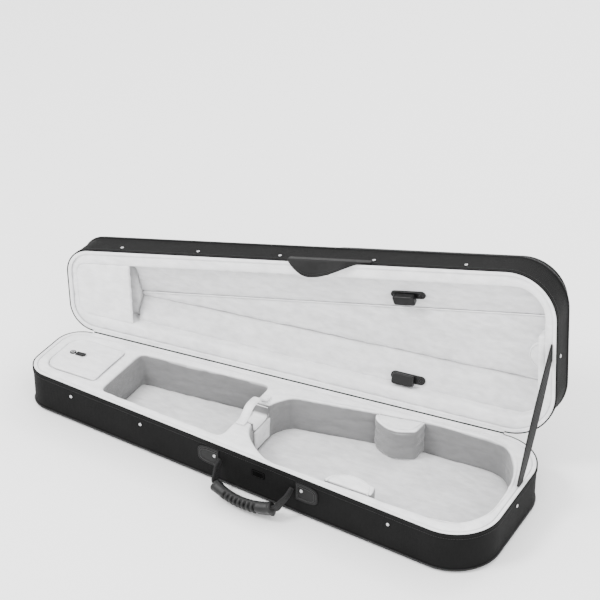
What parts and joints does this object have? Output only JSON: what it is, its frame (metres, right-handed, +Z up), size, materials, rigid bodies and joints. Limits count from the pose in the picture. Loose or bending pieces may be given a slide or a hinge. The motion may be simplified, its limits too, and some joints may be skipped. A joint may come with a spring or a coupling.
{
  "type": "violin case",
  "caption": "Triangular violin case with a plush-lined base, fitted violin pit, accessory box, padded lid with bow clips and a music pocket.",
  "frame": {"origin": "middle of the base's underside, half-way along the case and across it", "axes": "+X along the case to its wide end, +Y to the hinge side, +Z up; the handle is on the -Y side"},
  "size_m": [0.8067, 0.3903, 0.3213],
  "materials": {
    "case_fabric": "woven canvas, charcoal",
    "plywood": "bare plywood, hidden",
    "plush": "brushed plush, off-white",
    "piping": "rolled leatherette cord",
    "leather": "semi-gloss, stitched",
    "webbing": "woven webbing",
    "grip_rubber": "moulded, satin",
    "nickel": "polished nickel",
    "clip_plastic": "moulded, glossy",
    "hook_and_loop": "hook and loop pile",
    "white_hook_and_loop": "hook and loop pile",
    "zip_tape": "zip tape with coil teeth"
  },
  "bodies": {
    "base": {"accessory_tray": "plush", "back_waist_block": "plush", "base_bottom_cover": "case_fabric", "base_bottom_piping": "piping", "base_floor_panel": "plywood", "base_frame": "plywood", "base_rim_binding": "piping", "base_rivets": "nickel", "base_side_cover": "case_fabric", "closure_patch": "hook_and_loop", "front_waist_block": "plush", "handle_tab_left": "leather", "handle_tab_right": "leather", "hinge_tape": "case_fabric", "insert_box_block": "plush", "insert_neck_block": "plush", "insert_violin_block": "plush", "neck_cradle": "plush", "neck_pit_pad": "plush", "neck_strap_patches": "white_hook_and_loop", "stay_strap": "webbing", "violin_pit_pad": "plush"},
    "lid": {"back_clip_plate": "clip_plastic", "bow_end_bar": "plush", "bow_end_patch": "plush", "bow_tip_board": "plush", "bow_tip_pad": "plush", "clip_screws": "nickel", "flap_strip": "case_fabric", "front_clip_plate": "clip_plastic", "lid_back_slope_pad": "plush", "lid_frame": "plywood", "lid_front_slope_pad": "plush", "lid_middle_pad": "plush", "lid_rim_binding": "piping", "lid_rim_pad": "plush", "lid_rivets": "nickel", "lid_side_cover": "case_fabric", "lid_top_cover": "case_fabric", "lid_top_panel": "plywood", "lid_top_piping": "piping", "pocket_lower_gusset": "case_fabric", "pocket_panel": "case_fabric", "pocket_piping": "piping", "pocket_upper_gusset": "case_fabric", "pocket_zip_tape": "zip_tape"},
    "handle": {"handle_grip": "grip_rubber", "handle_strap_left": "webbing", "handle_strap_right": "webbing"},
    "neck_strap": {"neck_strap": "plush"},
    "accessory_lid": {"accessory_eyelet": "nickel", "accessory_lid": "plush", "accessory_tab_base": "leather"},
    "accessory_pull_tab": {"accessory_pull_tab": "leather"},
    "closure_flap": {"closure_flap": "case_fabric", "flap_patch": "hook_and_loop"},
    "front_bow_clip": {"front_bow_clip": "clip_plastic"},
    "back_bow_clip": {"back_bow_clip": "clip_plastic"},
    "zip_slider": {"zip_slider": "nickel"},
    "zip_pull": {"zip_pull": "nickel"}
  },
  "joints": [
    {"name": "lid_hinge", "type": "hinge", "parent": "base", "child": "lid", "pos_m": [0, 0.10126, 0.06615], "axis": [0.9963, 0.0864, 0], "range_deg": [0, 96], "deforming": ["stay_strap"]},
    {"name": "handle_swing", "type": "hinge", "parent": "base", "child": "handle", "pos_m": [0.03657, -0.10744, 0.045], "axis": [-0.9963, 0.0864, 0], "range_deg": [0, 100]},
    {"name": "neck_strap_hinge", "type": "hinge", "parent": "base", "child": "neck_strap", "pos_m": [-0.027, -0.041, 0.0691], "axis": [-1, 0, 0], "range_deg": [-100, 0]},
    {"name": "accessory_lid_hinge", "type": "hinge", "parent": "base", "child": "accessory_lid", "pos_m": [-0.2796, 0, 0.068], "axis": [0, -1, 0], "range_deg": [-100, 0]},
    {"name": "pull_tab_hinge", "type": "hinge", "parent": "accessory_lid", "child": "accessory_pull_tab", "pos_m": [-0.34425, 0.004, 0.0693], "axis": [0, 1, 0], "range_deg": [-80, 0]},
    {"name": "closure_flap_fold", "type": "hinge", "parent": "lid", "child": "closure_flap", "pos_m": [0.02946, 0.12411, 0.27813], "axis": [-0.9798, -0.103, -0.1712], "range_deg": [-10, 72]},
    {"name": "front_clip_turn", "type": "hinge", "parent": "lid", "child": "front_bow_clip", "pos_m": [0.14303, 0.16122, 0.23444], "axis": [0.1458, -0.9545, -0.2601], "range_deg": [0, 90]},
    {"name": "back_clip_turn", "type": "hinge", "parent": "lid", "child": "back_bow_clip", "pos_m": [0.15625, 0.14265, 0.10242], "axis": [0.0728, -0.8395, 0.5385], "range_deg": [-90, 0]},
    {"name": "zip_slide", "type": "slide", "parent": "lid", "child": "zip_slider", "axis": [-0.0951, 0.0963, 0.9908], "range_m": [0, 0.055]},
    {"name": "zip_pull_swing", "type": "hinge", "parent": "zip_slider", "child": "zip_pull", "pos_m": [-0.00355, 0.18167, 0.16019], "axis": [-0.0859, 0.9908, -0.1045], "range_deg": [0, 130]}
  ],
  "couplings": [
    {"joint": "closure_flap_fold", "follows": "lid_hinge", "ratio": 0.75}
  ]
}
